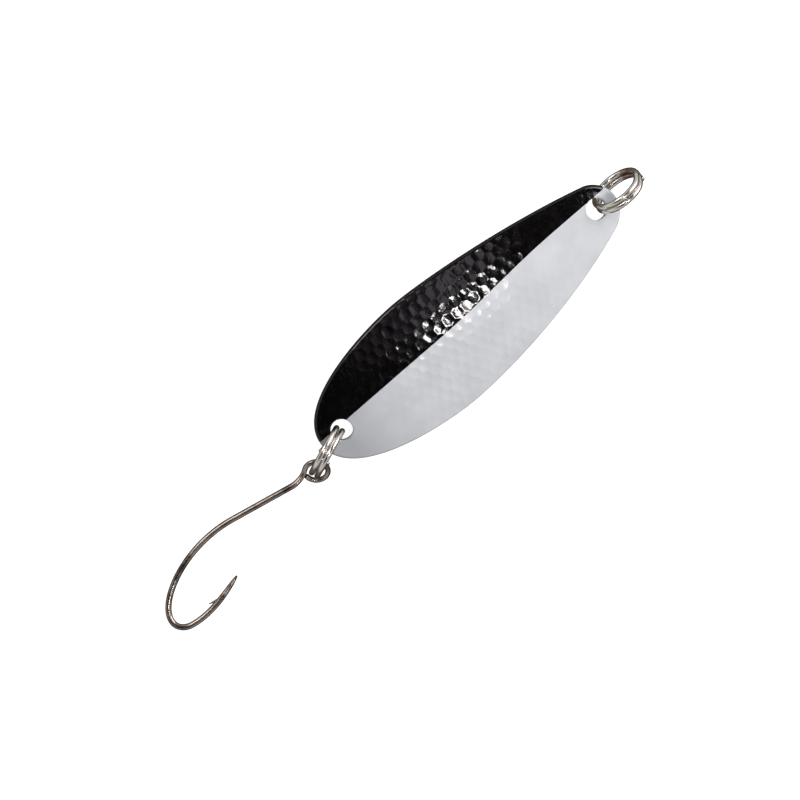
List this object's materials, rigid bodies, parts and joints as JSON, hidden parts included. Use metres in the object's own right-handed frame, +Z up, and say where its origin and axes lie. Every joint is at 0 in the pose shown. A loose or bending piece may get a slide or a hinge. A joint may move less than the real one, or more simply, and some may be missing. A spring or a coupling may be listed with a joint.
{
  "type": "spoon lure",
  "caption": "Arched, hammered spoon lure with a two-tone painted face, a split ring at each end and a single barbed hook on the tail ring.",
  "frame": {"origin": "bottom centre of the whole lure's box, on the surface that it lies on, painted convex side up", "axes": "+X along the blade from the tail and hook to the head and line end, +Y towards the blade's raised long edge, which is the black half, +Z up"},
  "size_m": [0.0868, 0.0168, 0.0076],
  "materials": {
    "blade_metal": "bright nickel plate on the bare concave side",
    "white_paint": "thick gloss paint over hammered metal",
    "black_paint": "thick gloss paint over hammered metal",
    "ring_metal": "polished nickel wire, lightly tarnished",
    "hook_metal": "black nickel"
  },
  "bodies": {
    "blade": {"spoon_blade": "blade_metal"},
    "front_ring": {"front_split_ring": "ring_metal"},
    "rear_ring": {"rear_split_ring": "ring_metal"},
    "hook": {"single_hook": "hook_metal"}
  },
  "joints": [
    {"name": "front_ring_swing", "type": "hinge", "parent": "blade", "child": "front_ring", "pos_m": [0.03574, 0.0004, 0.0032], "axis": [0.2007, -0.2864, 0.9369], "range_deg": [-105, 100]},
    {"name": "rear_ring_swing", "type": "hinge", "parent": "blade", "child": "rear_ring", "pos_m": [-0.00891, 0.00039, 0.00325], "axis": [0, 0, 1], "range_deg": [-65, 30]},
    {"name": "hook_swing", "type": "hinge", "parent": "rear_ring", "child": "hook", "pos_m": [-0.01537, -0.00171, 0.00266], "axis": [-0.3214, -0.117, 0.9397], "range_deg": [-90, 110]}
  ]
}
